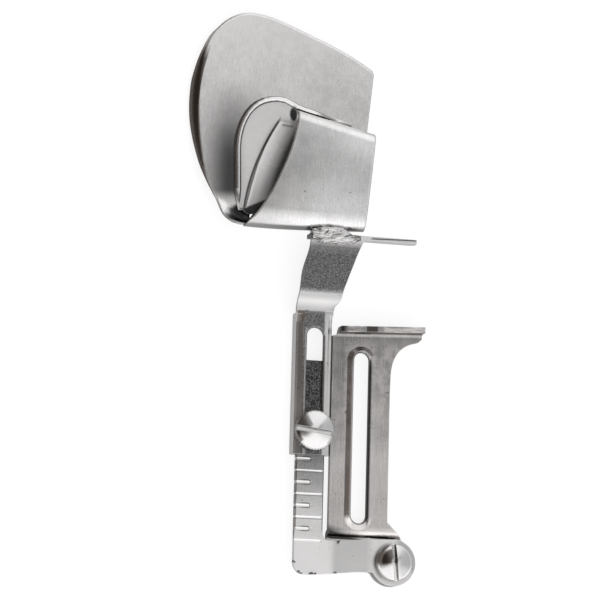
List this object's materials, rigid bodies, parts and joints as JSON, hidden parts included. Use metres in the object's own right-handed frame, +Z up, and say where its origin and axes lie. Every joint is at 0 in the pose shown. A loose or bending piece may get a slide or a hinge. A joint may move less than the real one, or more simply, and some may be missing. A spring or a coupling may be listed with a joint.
{
  "type": "binder attachment",
  "caption": "Sewing machine binder with a folding scroll on a graduated slide, carried by a swing-away slotted bracket.",
  "frame": {"origin": "on the centre line of the bracket's long slot, half-way along it, in the plane of the machine bed that the lug stands on", "axes": "+X is the sewing direction, +Y runs along both slots towards the folder, +Z points up from the bed"},
  "size_m": [0.068, 0.1577, 0.0097],
  "materials": {
    "bracket_steel": "polished stainless sheet, light draw lines along the slot",
    "arm_steel": "satin stainless sheet",
    "slide_steel": "tumbled stainless sheet with polished bends",
    "folder_steel": "fine satin stainless sheet",
    "screw_steel": "turned and bright plated",
    "solder": "dull rough solder"
  },
  "bodies": {
    "bracket": {"mounting_bracket": "bracket_steel", "pivot_screw": "screw_steel"},
    "swing": {"swing_arm": "arm_steel"},
    "slide": {"slide_arm": "slide_steel", "folder_scroll": "folder_steel", "inner_guide": "folder_steel", "solder_joint": "solder"},
    "clamp": {"clamp_screw": "screw_steel"}
  },
  "joints": [
    {"name": "swing_away", "type": "hinge", "parent": "bracket", "child": "swing", "pos_m": [0.0103, -0.0339, 0.0024], "axis": [0, 0, 1], "range_deg": [0, 95]},
    {"name": "leg_slide", "type": "slide", "parent": "swing", "child": "slide", "axis": [0, 1, 0], "range_m": [-0.0195, 0.0005]},
    {"name": "clamp_turn", "type": "hinge", "parent": "swing", "child": "clamp", "pos_m": [-0.0136, 0.001, 0.005], "axis": [0, 0, 1], "range_deg": [-20, 540]}
  ]
}
